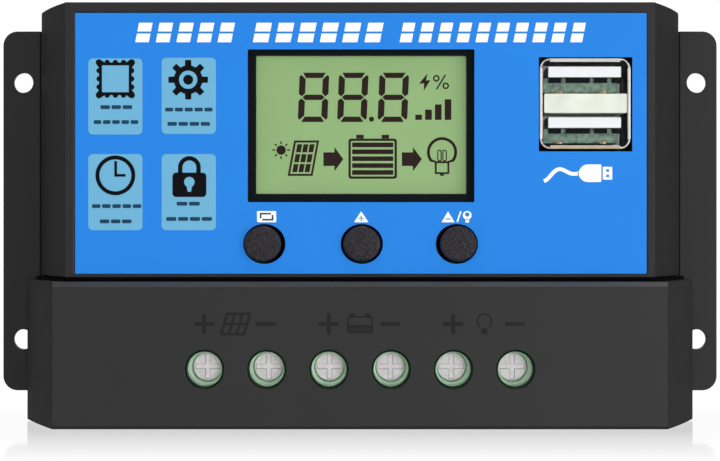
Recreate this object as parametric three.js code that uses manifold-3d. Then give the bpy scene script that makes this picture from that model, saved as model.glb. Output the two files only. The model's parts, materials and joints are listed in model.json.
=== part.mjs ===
// A wall-mounted solar charge controller: a flanged base, a display cover and a terminal hood round two
// circuit boards, with a row of six rising-clamp terminals, three push buttons and a stacked USB socket.
//
// Lengths are millimetres. Every piece is drawn face-on: x to the right, y up the face from the case's
// bottom edge, z out of the wall from the base's back plane. The last lines stand the drawing upright.
import * as THREE from "three";
import { mergeVertices } from "three/addons/utils/BufferGeometryUtils.js";
import Module from "manifold-3d";

const wasm = await Module();
wasm.setup();

// ---- Driving dimensions ----

const GAP = 0.3; // between pieces that rest on each other
const PAST = 1; // how far a cutter runs past the face that it opens
const ROUND = 20; // sides of a round piece
const SMALL_ROUND = 12; // sides of a small screw, bore or boss
const SMALL_RADIUS = 1.92; // round pieces up to this radius count as small

const CASE = { height: 70, depth: 35, wall: 2 };
const COVER = { halfWidth: 54.85, front: 32.2, bottom: 24.8, slope: 0.266 };
const HOOD = { halfWidth: 57.2, front: CASE.depth, top: 24, slope: 0.232 };
// The side walls stand straight up to fromZ, then lean in by slope * dz + curve * dz * dz.
const LEAN = { fromZ: 9, curve: 0.0016 };
const SEAM_WALL = 1.8; // the walls of cover and hood that face each other
// The opening through both facing walls, by which the main board runs on from the cover into the hood.
const BOARD_PASSAGE = { halfWidth: 50.4, front: 15.5 };
const LIP_PASSAGE = { halfWidth: 54 };

const BASE = { floor: 2, rim: 8, lip: 1.2, lipTop: 9.4 };
const EAR = { halfWidth: 62.25, bottom: 4.6, top: 67.25, thickness: 2.6, radius: 2.5 };
const MOUNT_HOLE = { halfSpacing: 58.8, ys: [13.5, 58.3], radius: 1.85 };
const VENT = { width: 1.8, length: 15, pitch: 7, count: 7, ys: [30, 52] };

const LABEL = { halfWidth: 46.8, bottom: 25.4, top: 68.3, thickness: 0.3 };
const LABEL_POCKET = { depth: LABEL.thickness + GAP, margin: 0.1 };
const WINDOW = { x: 0.2, y: 49.8, width: 36.9, height: 24.9 };
// The outer caps sit off the middle of their holes by capShift, away from the face's middle.
const BUTTONS = { xs: { menu: -15.7, up: 0.25, down: 15.95 }, y: 30.3, holeRadius: 3.4, capShift: 0.15 };

const MAIN_BOARD = { halfWidth: 49.5, bottom: 3.9, top: 66.1, z: 8, thickness: 1.6 };
// The main board's corners are cut out round the case's screw bosses.
const BOARD_CORNERS = { lower: { width: 7.6, height: 8.4 }, upper: { width: 9, height: 5.9 } };
const MAIN_TOP = MAIN_BOARD.z + MAIN_BOARD.thickness;
const DISPLAY_BOARD = { left: -36.4, right: 28.6, bottom: 27, top: 66.6, z: 19.6, thickness: 1.6 };
const DISPLAY_TOP = DISPLAY_BOARD.z + DISPLAY_BOARD.thickness;

const LCD = { x: 0.1, y: 49.9, width: 39.2, height: 27.2, viewWidth: 35, viewHeight: 23.2 };
const LCD_FRAME = { wall: 0.75, top: 29.9, plate: 1 };
const LCD_GLASS = { bottom: 26.6, top: 28.6 };

const USB = { x: 37.1, y: 53.3, width: 14.9, height: 15, front: 31.9, skin: 0.35, back: 18, clearance: 0.2 };
const USB_PORT = { height: 5.3, divider: 3.5, tongue: 1.85, tongueWidth: 12, tongueDrop: 0.85 };

const POLE = { count: 6, pitch: 10.16, y: 9.82 };
const BLOCK = { halfWidth: 31, bottom: 2.4, top: 16.6, front: 32.6, floor: 0.7 };
const CHAMBER = { halfWidth: 3.9, bottom: 4.2, top: 14.7, mouthWidth: 6.6, mouthTop: 4.8 };
const CLAMP = { rise: 2.4, bottom: 10.9, top: 18.9, halfWidth: 3.5, low: 5.6, high: 13.3, wall: 0.8 };
const BAR = { bottom: 16.4, top: 17.3, halfWidth: 2.3, tip: 4.6 };
const TERMINAL_SCREW = { headRadius: 2.4, headTop: 24.3, head: 1.7, shankRadius: 1.7, tip: 17.5 };

const CASE_SCREWS = { cover: { x: 44, y: 65.2 }, hood: { x: 46.5, y: 6.6 } };
const BOARD_SCREWS = { x: 46, ys: [18, 40.5] };
const DISPLAY_SCREWS = { xs: [-33.5, 25.8], ys: [29.6, 64] };

const poleXs = Array.from({ length: POLE.count }, (_, i) => (i - (POLE.count - 1) / 2) * POLE.pitch);

// ---- Materials ----

const material = (color, roughness, metalness = 0) =>
  new THREE.MeshStandardMaterial({ color, roughness, metalness });
const blackPlastic = material(0x2b2b2c, 0.55);
const blueLabel = material(0x2e88e8, 0.4);
const buttonPlastic = material(0x2e2b2e, 0.7);
const lcdGreen = material(0x93b87a, 0.25);
const diffuser = material(0xe8ece4, 0.5);
const boardGreen = material(0x1c5a34, 0.5);
const terminalGreen = material(0x58b66c, 0.45);
const plated = material(0xcfcdd0, 0.3, 1);
const copper = material(0xb98a4c, 0.35, 1);
const blackSteel = material(0x303032, 0.45, 0.8);
const aluminium = material(0xb4b6ba, 0.4, 1);
const whitePlastic = material(0xf0efe8, 0.5);
const component = material(0x1d1d1f, 0.5);
const capacitorSleeve = material(0x22304a, 0.4);

// ---- Solids ----

// A closed geometry as a solid that can be joined and cut.
function solid(geometry) {
  const bare = geometry.clone();
  bare.deleteAttribute("normal");
  bare.deleteAttribute("uv");
  const merged = mergeVertices(bare, 1e-4);
  return new wasm.Manifold(
    new wasm.Mesh({
      numProp: 3,
      vertProperties: merged.attributes.position.array,
      triVerts: new Uint32Array(merged.index.array),
    }),
  );
}

function geometryOf(made) {
  const mesh = made.getMesh();
  const geometry = new THREE.BufferGeometry();
  geometry.setAttribute("position", new THREE.BufferAttribute(mesh.vertProperties, 3));
  geometry.setIndex(new THREE.BufferAttribute(mesh.triVerts, 1));
  const flat = geometry.toNonIndexed();
  flat.computeVertexNormals();
  return flat;
}

function box(x0, x1, y0, y1, z0, z1) {
  const geometry = new THREE.BoxGeometry(x1 - x0, y1 - y0, z1 - z0);
  geometry.translate((x0 + x1) / 2, (y0 + y1) / 2, (z0 + z1) / 2);
  return solid(geometry);
}

// A box given by its centre on the face, its width and height there, and its span in z.
const block = (x, y, width, height, z0, z1) =>
  box(x - width / 2, x + width / 2, y - height / 2, y + height / 2, z0, z1);

const sidesFor = (radius) => (radius < SMALL_RADIUS ? SMALL_ROUND : ROUND);

function cylinder(x, y, radius, z0, z1, topRadius = radius, sides = sidesFor(radius)) {
  const geometry = new THREE.CylinderGeometry(topRadius, radius, z1 - z0, sides);
  geometry.rotateX(Math.PI / 2);
  geometry.translate(x, y, (z0 + z1) / 2);
  return solid(geometry);
}

const join = (pieces) => pieces.reduce((whole, piece) => whole.add(piece));
const cut = (whole, cutters) => cutters.reduce((left, cutter) => left.subtract(cutter), whole);

function roundedPlate(x0, x1, y0, y1, radius, z0, z1) {
  const shape = new THREE.Shape();
  shape.moveTo(x0 + radius, y0);
  shape.lineTo(x1 - radius, y0);
  shape.absarc(x1 - radius, y0 + radius, radius, -Math.PI / 2, 0);
  shape.absarc(x1 - radius, y1 - radius, radius, 0, Math.PI / 2);
  shape.absarc(x0 + radius, y1 - radius, radius, Math.PI / 2, Math.PI);
  shape.absarc(x0 + radius, y0 + radius, radius, Math.PI, Math.PI * 1.5);
  const geometry = new THREE.ExtrudeGeometry(shape, {
    depth: z1 - z0,
    bevelEnabled: false,
    curveSegments: 7,
  });
  geometry.translate(0, 0, z0);
  return solid(geometry);
}

const leanAt = (slope, z) => slope * (z - LEAN.fromZ) + LEAN.curve * (z - LEAN.fromZ) ** 2;

// The case's section across its width, from back to front with leaning sides, run from y0 up to y1.
// A parabola is a quadratic curve, whose middle point lies where its end tangents cross.
function caseSection({ halfWidth, slope }, inset, back, front, y0, y1) {
  const shape = new THREE.Shape();
  const middle = (LEAN.fromZ + front) / 2;
  const backX = halfWidth - inset;
  const controlX = backX - (slope * (front - LEAN.fromZ)) / 2;
  const frontX = backX - leanAt(slope, front);
  shape.moveTo(-backX, back);
  shape.lineTo(backX, back);
  shape.lineTo(backX, LEAN.fromZ);
  shape.quadraticCurveTo(controlX, middle, frontX, front);
  shape.lineTo(-frontX, front);
  shape.quadraticCurveTo(-controlX, middle, -backX, LEAN.fromZ);
  const geometry = new THREE.ExtrudeGeometry(shape, {
    depth: y1 - y0,
    bevelEnabled: false,
    curveSegments: 6,
  });
  geometry.rotateX(Math.PI / 2);
  geometry.translate(0, y1, 0);
  return solid(geometry);
}

const boss = (x, y, radius, z0, z1) => cylinder(x, y, radius, z0, z1, radius, SMALL_ROUND);

// The cross that a screwdriver turns, cut into a head whose face is at z.
const driveCross = (x, y, z, length, depth) => [
  block(x, y, length, 0.65, z - depth, z + PAST),
  block(x, y, 0.65, length * 0.85, z - depth, z + PAST),
];

// ---- The parts ----

const controller = new THREE.Group();

function add(name, made, finish) {
  const mesh = new THREE.Mesh(geometryOf(made), finish);
  mesh.name = name;
  controller.add(mesh);
}

const caseScrewPlaces = [
  [-CASE_SCREWS.cover.x, CASE_SCREWS.cover.y],
  [CASE_SCREWS.cover.x, CASE_SCREWS.cover.y],
  [-CASE_SCREWS.hood.x, CASE_SCREWS.hood.y],
  [CASE_SCREWS.hood.x, CASE_SCREWS.hood.y],
];
const boardScrewPlaces = BOARD_SCREWS.ys.flatMap((y) => [
  [-BOARD_SCREWS.x, y],
  [BOARD_SCREWS.x, y],
]);
const displayScrewPlaces = DISPLAY_SCREWS.ys.flatMap((y) => DISPLAY_SCREWS.xs.map((x) => [x, y]));

const CASE_BOSS = { radius: 3.4, top: 7.5, bore: 1.7, headBore: 2.9, headDepth: 2.4 };
const COVER_BOSS = { radius: 2.75, back: CASE_BOSS.top + GAP, bore: 1.45, boreTop: 18 };
const STANDOFF = { radius: 3, bore: 1.5, top: MAIN_BOARD.z - GAP };

// The tray with its ears, board standoffs, screw bosses, vents and the lip that the shells fit round.
function rearBase() {
  const half = COVER.halfWidth;
  const innerHalf = half - CASE.wall;
  const innerTop = CASE.height - CASE.wall;
  const lipHalf = innerHalf - GAP;
  const lipBack = BASE.rim - PAST;
  const lipRing = cut(box(-lipHalf, lipHalf, CASE.wall + GAP, innerTop - GAP, lipBack, BASE.lipTop), [
    box(
      -lipHalf + BASE.lip,
      lipHalf - BASE.lip,
      CASE.wall + GAP + BASE.lip,
      innerTop - GAP - BASE.lip,
      lipBack - PAST,
      BASE.lipTop + PAST,
    ),
  ]);
  // The lip stands off the wall by the gap, so a ledge under it joins the two.
  const ledge = cut(box(-half + 0.5, half - 0.5, 0.5, CASE.height - 0.5, lipBack - 1, BASE.rim), [
    box(
      -lipHalf + BASE.lip,
      lipHalf - BASE.lip,
      CASE.wall + GAP + BASE.lip,
      innerTop - GAP - BASE.lip,
      lipBack - 2,
      BASE.rim + PAST,
    ),
  ]);
  const tray = cut(box(-half, half, 0, CASE.height, 0, BASE.rim), [
    box(-innerHalf, innerHalf, CASE.wall, innerTop, BASE.floor, BASE.rim + PAST),
  ]);
  const ears = cut(
    roundedPlate(-EAR.halfWidth, EAR.halfWidth, EAR.bottom, EAR.top, EAR.radius, 0, EAR.thickness),
    [box(-half + 1, half - 1, 0, CASE.height, -PAST, EAR.thickness + PAST)],
  );
  const bosses = caseScrewPlaces.map(([x, y]) => boss(x, y, CASE_BOSS.radius, 0.5, CASE_BOSS.top));
  const standoffs = boardScrewPlaces.map(([x, y]) => boss(x, y, STANDOFF.radius, 0.5, STANDOFF.top));
  const whole = join([tray, ledge, lipRing, ears, ...bosses, ...standoffs]);
  const mountHoles = MOUNT_HOLE.ys.flatMap((y) =>
    [-1, 1].map((side) =>
      cylinder(side * MOUNT_HOLE.halfSpacing, y, MOUNT_HOLE.radius, -PAST, EAR.thickness + PAST),
    ),
  );
  const screwBores = caseScrewPlaces.flatMap(([x, y]) => [
    cylinder(x, y, CASE_BOSS.bore, -PAST, CASE_BOSS.top + PAST),
    boss(x, y, CASE_BOSS.headBore, -PAST, CASE_BOSS.headDepth),
  ]);
  const standoffBores = boardScrewPlaces.map(([x, y]) =>
    cylinder(x, y, STANDOFF.bore, BASE.floor, STANDOFF.top + PAST),
  );
  const bossRoom = caseScrewPlaces.map(([x, y]) =>
    boss(x, y, COVER_BOSS.radius + GAP, CASE_BOSS.top, BASE.lipTop + PAST),
  );
  const vents = VENT.ys.flatMap((y) =>
    Array.from({ length: VENT.count }, (_, i) =>
      block((i - (VENT.count - 1) / 2) * VENT.pitch, y, VENT.width, VENT.length, -PAST, BASE.floor + PAST),
    ),
  );
  return cut(whole, [...mountHoles, ...screwBores, ...standoffBores, ...bossRoom, ...vents]);
}

// A boss inside a shell, from its front wall back to where its screw comes in.
const shellBoss = ([x, y], spec, front) => boss(x, y, spec.radius, spec.back, front);
const shellBore = ([x, y], spec) => cylinder(x, y, spec.bore, spec.back - PAST, spec.boreTop);

const DISPLAY_BOSS = { radius: 2.4, back: DISPLAY_TOP + GAP, bore: 1.15, boreTop: 27.5 };

// The shell round the display, with its label pocket, window, button holes and USB opening.
function frontCover() {
  const back = BASE.rim + GAP;
  const face = COVER.front - CASE.wall;
  const seamWall = [COVER.bottom - PAST, COVER.bottom + SEAM_WALL + PAST];
  const shell = cut(caseSection(COVER, 0, back, COVER.front, COVER.bottom, CASE.height), [
    caseSection(
      COVER,
      CASE.wall,
      back - PAST,
      face,
      COVER.bottom + SEAM_WALL,
      CASE.height - CASE.wall,
    ),
    // The main board runs on into the hood under the cover's lower wall.
    box(-BOARD_PASSAGE.halfWidth, BOARD_PASSAGE.halfWidth, ...seamWall, back - PAST, BOARD_PASSAGE.front),
    // The lower wall stands clear of the base's lip on both sides of the board.
    box(-LIP_PASSAGE.halfWidth, LIP_PASSAGE.halfWidth, ...seamWall, back - PAST, BASE.lipTop + GAP),
  ]);
  const inside = face + PAST;
  const bosses = caseScrewPlaces.slice(0, 2).map((place) => shellBoss(place, COVER_BOSS, inside));
  const displayBosses = displayScrewPlaces.map((place) => shellBoss(place, DISPLAY_BOSS, inside));
  const through = [COVER.front - CASE.wall - PAST, COVER.front + PAST];
  return cut(join([shell, ...bosses, ...displayBosses]), [
    ...caseScrewPlaces.slice(0, 2).map((place) => shellBore(place, COVER_BOSS)),
    ...displayScrewPlaces.map((place) => shellBore(place, DISPLAY_BOSS)),
    box(
      -LABEL.halfWidth - LABEL_POCKET.margin,
      LABEL.halfWidth + LABEL_POCKET.margin,
      LABEL.bottom - LABEL_POCKET.margin,
      LABEL.top + LABEL_POCKET.margin,
      COVER.front - LABEL_POCKET.depth,
      COVER.front + PAST,
    ),
    block(WINDOW.x, WINDOW.y, WINDOW.width, WINDOW.height, ...through),
    block(USB.x, USB.y, USB.width + 2 * USB.clearance, USB.height + 2 * USB.clearance, ...through),
    ...Object.values(BUTTONS.xs).map((x) => cylinder(x, BUTTONS.y, BUTTONS.holeRadius, ...through)),
  ]);
}

// The printed panel, stuck in the cover's pocket.
function faceLabel() {
  const span = [COVER.front - LABEL.thickness - PAST, COVER.front + PAST];
  const sheet = box(
    -LABEL.halfWidth,
    LABEL.halfWidth,
    LABEL.bottom,
    LABEL.top,
    COVER.front - LABEL.thickness,
    COVER.front,
  );
  return cut(sheet, [
    block(WINDOW.x, WINDOW.y, WINDOW.width, WINDOW.height, ...span),
    block(USB.x, USB.y, USB.width + 2 * USB.clearance, USB.height + 2 * USB.clearance, ...span),
    ...Object.values(BUTTONS.xs).map((x) => cylinder(x, BUTTONS.y, BUTTONS.holeRadius, ...span)),
  ]);
}

const WIRE_MOUTH = { width: 7.2, bottom: 11, top: 17.4 };
const WELL = {
  radius: 3,
  shoulder: TERMINAL_SCREW.headTop - TERMINAL_SCREW.head - GAP / 2,
  shoulderBore: 2.1,
  chamberTop: CLAMP.top + CLAMP.rise + GAP,
};

// The shell over the terminals, with six screwdriver holes in its face and six wire mouths underneath.
function terminalHood() {
  const back = BASE.rim + GAP;
  const face = HOOD.front - CASE.wall;
  const innerHalf = HOOD.halfWidth - CASE.wall;
  const seamWall = [HOOD.top - SEAM_WALL - PAST, HOOD.top + PAST];
  const shell = cut(caseSection(HOOD, 0, back, HOOD.front, 0, HOOD.top), [
    caseSection(HOOD, CASE.wall, back - PAST, face, CASE.wall, HOOD.top - SEAM_WALL),
    // The main board runs on into the cover through the hood's upper wall, over the base's side walls.
    box(-BOARD_PASSAGE.halfWidth, BOARD_PASSAGE.halfWidth, ...seamWall, back - PAST, BOARD_PASSAGE.front),
    box(-innerHalf, innerHalf, ...seamWall, back - PAST, BASE.lipTop + GAP),
  ]);
  const places = caseScrewPlaces.slice(2);
  const bosses = places.map((place) => shellBoss(place, COVER_BOSS, face + PAST));
  return cut(join([shell, ...bosses]), [
    ...places.map((place) => shellBore(place, COVER_BOSS)),
    ...poleXs.map((x) => cylinder(x, POLE.y, WELL.radius + 0.1, face - PAST, HOOD.front + PAST)),
    ...poleXs.map((x) =>
      block(x, 0, WIRE_MOUTH.width, 2 * (CASE.wall + PAST), WIRE_MOUTH.bottom, WIRE_MOUTH.top),
    ),
  ]);
}

const PIN = { width: 1, y0: 13.9, y1: 14.4, slotHalfWidth: 0.9, slotWidth: 1.6, slotHeight: 1.1, foot: 11 };

// The green housing of the terminal row: a screw well over a clamp chamber for each pole.
function terminalBlock() {
  const bottom = MAIN_TOP + GAP;
  const mouth = [WIRE_MOUTH.bottom, WIRE_MOUTH.top];
  const housing = box(-BLOCK.halfWidth, BLOCK.halfWidth, BLOCK.bottom, BLOCK.top, bottom, BLOCK.front);
  return cut(
    housing,
    poleXs.flatMap((x) => [
      cylinder(x, POLE.y, WELL.radius, WELL.shoulder, BLOCK.front + PAST),
      cylinder(x, POLE.y, WELL.shoulderBore, WELL.chamberTop - PAST, WELL.shoulder + PAST),
      box(
        x - CHAMBER.halfWidth,
        x + CHAMBER.halfWidth,
        CHAMBER.bottom,
        CHAMBER.top,
        bottom + BLOCK.floor,
        WELL.chamberTop,
      ),
      block(x, BLOCK.bottom, CHAMBER.mouthWidth, 2 * (CHAMBER.mouthTop - BLOCK.bottom), ...mouth),
      box(
        x - PIN.slotHalfWidth,
        x + PIN.slotHalfWidth,
        PIN.y0 - GAP,
        CHAMBER.top,
        bottom - PAST,
        bottom + BLOCK.floor + PAST,
      ),
    ]),
  );
}

function terminalScrew(x) {
  const { headRadius, headTop, head, shankRadius, tip } = TERMINAL_SCREW;
  const whole = join([
    cylinder(x, POLE.y, headRadius, headTop - head, headTop),
    cylinder(x, POLE.y, shankRadius, tip, headTop - head + 0.5),
  ]);
  return cut(whole, driveCross(x, POLE.y, headTop, 4, 0.8));
}

// The steel box that the screw draws up against the contact bar, with its nut in the upper wall.
function clampCage(x) {
  const { bottom, top, halfWidth, low, high, wall } = CLAMP;
  return cut(box(x - halfWidth, x + halfWidth, low, high, bottom, top), [
    box(x - halfWidth + wall, x + halfWidth - wall, low - PAST, high + PAST, bottom + wall, top - 1.3),
    cylinder(x, POLE.y, TERMINAL_SCREW.shankRadius + 0.2, top - 2, top + PAST),
  ]);
}

// The tinned bar that the wire is pressed on, bent down behind the cage to a pin through the board.
function contactBar(x) {
  return join([
    box(x - BAR.halfWidth, x + BAR.halfWidth, BAR.tip, PIN.y1, BAR.bottom, BAR.top),
    box(x - BAR.halfWidth, x + BAR.halfWidth, PIN.y0, PIN.y1, PIN.foot, BAR.top),
    box(x - PIN.width / 2, x + PIN.width / 2, PIN.y0, PIN.y1, MAIN_BOARD.z - 1, PIN.foot + 0.5),
  ]);
}

function mainBoard() {
  const { halfWidth, bottom, top, z } = MAIN_BOARD;
  const span = [z - PAST, MAIN_TOP + PAST];
  const corners = [-1, 1].flatMap((side) => [
    block(side * halfWidth, bottom, 2 * BOARD_CORNERS.lower.width, 2 * BOARD_CORNERS.lower.height, ...span),
    block(side * halfWidth, top, 2 * BOARD_CORNERS.upper.width, 2 * BOARD_CORNERS.upper.height, ...span),
  ]);
  return cut(box(-halfWidth, halfWidth, bottom, top, z, MAIN_TOP), [
    ...corners,
    ...boardScrewPlaces.map(([x, y]) => cylinder(x, y, 1.6, ...span)),
    ...poleXs.map((x) => block(x, (PIN.y0 + PIN.y1) / 2, PIN.slotWidth, PIN.slotHeight, ...span)),
  ]);
}

function displayBoard() {
  const { left, right, bottom, top, z } = DISPLAY_BOARD;
  return cut(
    box(left, right, bottom, top, z, DISPLAY_TOP),
    displayScrewPlaces.map(([x, y]) => cylinder(x, y, 1.4, z - PAST, DISPLAY_TOP + PAST)),
  );
}

const HEADER = { left: -29, y: 45, pins: 8, pitch: 2.54, pin: 0.64, strip: 2.6, height: 2.5 };

// The pins that carry power and signals from the main board to the display board.
function boardHeader() {
  const { left, y, pins, pitch, pin, strip, height } = HEADER;
  const right = left + (pins - 1) * pitch;
  const margin = strip / 2;
  const z = MAIN_TOP + GAP;
  return join([
    box(left - margin, right + margin, y - margin, y + margin, z, z + height),
    ...Array.from({ length: pins }, (_, i) =>
      block(left + i * pitch, y, pin, pin, z + height / 2, DISPLAY_BOARD.z - GAP),
    ),
  ]);
}

function lcdFrame() {
  const { x, y, width, height, viewWidth, viewHeight } = LCD;
  const outer = 2 * (LCD_FRAME.wall + 0.4);
  return cut(block(x, y, width + outer, height + outer, DISPLAY_TOP + GAP, LCD_FRAME.top), [
    block(x, y, width + 0.8, height + 0.8, DISPLAY_TOP, LCD_FRAME.top - LCD_FRAME.plate),
    block(x, y, viewWidth, viewHeight, DISPLAY_TOP, LCD_FRAME.top + PAST),
  ]);
}

function usbShell() {
  const back = MAIN_TOP + GAP;
  const width = USB.width - 2 * USB.skin;
  const can = cut(block(USB.x, USB.y, USB.width, USB.height, back, USB.front), [
    block(USB.x, USB.y, width, USB.height - 2 * USB.skin, back - PAST, USB.front + PAST),
  ]);
  const divider = block(USB.x, USB.y, width + USB.skin, USB_PORT.divider, USB.back + GAP, USB.front - 0.4);
  return join([can, divider]);
}

// The moulding inside the USB shell: a back, and a tongue in each port.
function usbInsulator() {
  const width = USB.width - 2 * (USB.skin + 0.1);
  const height = USB.height - 2 * (USB.skin + 0.1);
  const back = box(
    USB.x - width / 2,
    USB.x + width / 2,
    USB.y - height / 2,
    USB.y + height / 2,
    MAIN_TOP + GAP,
    USB.back,
  );
  const tongues = [1, -1].map((side) => {
    const portTop = USB.y + (side > 0 ? USB_PORT.divider / 2 + USB_PORT.height : -USB_PORT.divider / 2);
    const tongueTop = portTop - USB_PORT.tongueDrop;
    return box(
      USB.x - USB_PORT.tongueWidth / 2,
      USB.x + USB_PORT.tongueWidth / 2,
      tongueTop - USB_PORT.tongue,
      tongueTop,
      USB.back - PAST,
      USB.front - 1,
    );
  });
  return join([back, ...tongues]);
}

const CAP = { radius: 2.95, chamfer: 0.35, foot: 26.7, back: 28.4, top: 33.6 };
const CAP_WING = { span: 8.6, height: 5.6, front: 29.9 };
const SWITCH = { size: 6, top: 25, plungerRadius: 1.7, plungerTop: 26.4, plungerBack: 22.8, bore: 1.9 };

function buttonCap(x) {
  return join([
    cylinder(x, BUTTONS.y, CAP.radius, CAP.back, CAP.top - CAP.chamfer),
    cylinder(x, BUTTONS.y, CAP.radius, CAP.top - CAP.chamfer, CAP.top, CAP.radius - CAP.chamfer),
    block(x, BUTTONS.y, CAP_WING.span, CAP_WING.height, CAP.back, CAP_WING.front),
    cylinder(x, BUTTONS.y, SWITCH.plungerRadius, CAP.foot, CAP.back + PAST),
  ]);
}

const switchBody = (x) =>
  cut(block(x, BUTTONS.y, SWITCH.size, SWITCH.size, DISPLAY_TOP + GAP, SWITCH.top), [
    cylinder(x, BUTTONS.y, SWITCH.bore, DISPLAY_TOP + 1, SWITCH.top + PAST),
  ]);

const switchPlunger = (x) =>
  cylinder(x, BUTTONS.y, SWITCH.plungerRadius, SWITCH.plungerBack, SWITCH.plungerTop);

const CASE_SCREW = { radius: 1.2, headRadius: 2.6, headThickness: 1.8, headZ: 0.3, tipZ: 16.5 };
const BOARD_SCREW = {
  radius: 1.25,
  headRadius: 2.7,
  headThickness: 1.7,
  headZ: MAIN_TOP + GAP + 1.7,
  tipZ: 3.2,
};
const DISPLAY_SCREW = {
  radius: 0.95,
  headRadius: 2.1,
  headThickness: 1.4,
  headZ: DISPLAY_BOARD.z - GAP - 1.4,
  tipZ: 26.5,
};

// A pan-head screw whose head is at headZ and whose tip is at tipZ, driven towards the tip.
function panScrew([x, y], { radius, headRadius, headThickness, headZ, tipZ }) {
  const forward = tipZ > headZ ? 1 : -1;
  const seat = headZ + forward * headThickness;
  const neck = (headZ + seat) / 2;
  const round = (r, from, to) => cylinder(x, y, r, Math.min(from, to), Math.max(from, to), r, SMALL_ROUND);
  const head = round(headRadius, headZ, seat);
  const shank = round(radius, neck, tipZ);
  const depth = headThickness * 0.55;
  const z0 = forward > 0 ? headZ - PAST : headZ - depth;
  const z1 = forward > 0 ? headZ + depth : headZ + PAST;
  return cut(join([head, shank]), [
    block(x, y, headRadius * 1.2, 0.6, z0, z1),
    block(x, y, 0.6, headRadius * 1.2, z0, z1),
  ]);
}

const HEAT_PLATE = { halfWidth: 34, bottom: 24, top: 61, front: 3.5 };
const TRANSISTOR = { xs: [-21, 0, 21], y: 40, width: 10, height: 9, back: 3.8, front: 7.7 };
const TAB = { offset: 7.4, height: 6.4, thickness: 1.3, hole: 1.8 };
const LEAD = { pitch: 2.54, offset: 6.4, width: 0.8, length: 5, rise: 2, thickness: 0.6 };

// A power transistor lying tab-down on the heat plate.
function powerTransistor(x) {
  const { y, width, height, back, front } = TRANSISTOR;
  const leadBack = back + LEAD.rise;
  const leads = [-LEAD.pitch, 0, LEAD.pitch].map((dx) =>
    block(x + dx, y - LEAD.offset, LEAD.width, LEAD.length, leadBack, leadBack + LEAD.thickness),
  );
  const tab = cut(block(x, y + TAB.offset, width, TAB.height, back, back + TAB.thickness), [
    cylinder(x, y + TAB.offset + 0.6, TAB.hole, back - PAST, back + TAB.thickness + PAST),
  ]);
  return join([block(x, y, width, height, back, front), tab, ...leads]);
}

const CAPACITOR = { x: -41.9, ys: [32.5, 48.5], radius: 5, front: 26.9, crimp: 0.5 };

function filterCapacitor(y) {
  const { x, radius, front, crimp } = CAPACITOR;
  return join([
    cylinder(x, y, radius, MAIN_TOP + GAP, front - crimp),
    cylinder(x, y, radius, front - crimp - 0.1, front, radius - crimp),
  ]);
}

const CHIP = { x: 4, y: 50, size: 7, thickness: 1.5 };
const CHIP_PIN = { perSide: 6, pitch: 1.1, reach: 3.9, length: 1.2, width: 0.45, thickness: 0.5 };

function controllerChip() {
  const { x, y, size, thickness } = CHIP;
  const { perSide, pitch, reach, length, width } = CHIP_PIN;
  const z = MAIN_TOP + GAP;
  const pinSpan = [z, z + CHIP_PIN.thickness];
  const offsets = Array.from({ length: perSide }, (_, i) => (i - (perSide - 1) / 2) * pitch);
  const pins = offsets.flatMap((along) => [
    block(x + along, y + reach, width, length, ...pinSpan),
    block(x + along, y - reach, width, length, ...pinSpan),
    block(x + reach, y + along, length, width, ...pinSpan),
    block(x - reach, y + along, length, width, ...pinSpan),
  ]);
  return join([block(x, y, size, size, z, z + thickness), ...pins]);
}

const INDUCTOR = { x: 20, y: 44, long: 8, short: 6, front: 14.4, coreRadius: 3.4 };

function inductor() {
  const { x, y, long, short, front, coreRadius } = INDUCTOR;
  const span = [MAIN_TOP + GAP, front];
  return join([
    block(x, y, long, short, ...span),
    block(x, y, short, long, ...span),
    cylinder(x, y, coreRadius, front - 0.4, front + 0.4),
  ]);
}

// ---- The assembly ----

add("rear_base", rearBase(), blackPlastic);
add("front_cover", frontCover(), blackPlastic);
add("terminal_hood", terminalHood(), blackPlastic);
add("face_label", faceLabel(), blueLabel);

add("lcd_frame", lcdFrame(), blackPlastic);
add("lcd_glass", block(LCD.x, LCD.y, LCD.width, LCD.height, LCD_GLASS.bottom, LCD_GLASS.top), lcdGreen);
add(
  "lcd_backlight",
  block(LCD.x, LCD.y, LCD.width, LCD.height, DISPLAY_TOP + GAP, LCD_GLASS.bottom - GAP),
  diffuser,
);
add("display_board", displayBoard(), boardGreen);
add("main_board", mainBoard(), boardGreen);
add("board_header", boardHeader(), component);

add("usb_shell", usbShell(), plated);
add("usb_insulator", usbInsulator(), whitePlastic);

Object.entries(BUTTONS.xs).forEach(([name, x]) => {
  const capX = x + BUTTONS.capShift * Math.sign(Math.round(x));
  add("button_cap_" + name, buttonCap(capX), buttonPlastic);
  add("switch_body_" + name, switchBody(x), component);
  add("switch_plunger_" + name, switchPlunger(x), whitePlastic);
});

add("terminal_block", terminalBlock(), terminalGreen);
poleXs.forEach((x, i) => {
  add("terminal_screw_" + (i + 1), terminalScrew(x), plated);
  add("clamp_cage_" + (i + 1), clampCage(x), plated);
  add("contact_bar_" + (i + 1), contactBar(x), copper);
});

caseScrewPlaces.forEach((place, i) =>
  add("case_screw_" + (i + 1), panScrew(place, CASE_SCREW), blackSteel),
);
boardScrewPlaces.forEach((place, i) =>
  add("board_screw_" + (i + 1), panScrew(place, BOARD_SCREW), plated),
);
displayScrewPlaces.forEach((place, i) =>
  add("display_screw_" + (i + 1), panScrew(place, DISPLAY_SCREW), plated),
);

add(
  "heat_plate",
  box(
    -HEAT_PLATE.halfWidth,
    HEAT_PLATE.halfWidth,
    HEAT_PLATE.bottom,
    HEAT_PLATE.top,
    BASE.floor + GAP,
    HEAT_PLATE.front,
  ),
  aluminium,
);
TRANSISTOR.xs.forEach((x, i) => add("power_transistor_" + (i + 1), powerTransistor(x), component));
CAPACITOR.ys.forEach((y, i) => add("filter_capacitor_" + (i + 1), filterCapacitor(y), capacitorSleeve));
add("controller_chip", controllerChip(), component);
add("inductor", inductor(), component);

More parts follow.
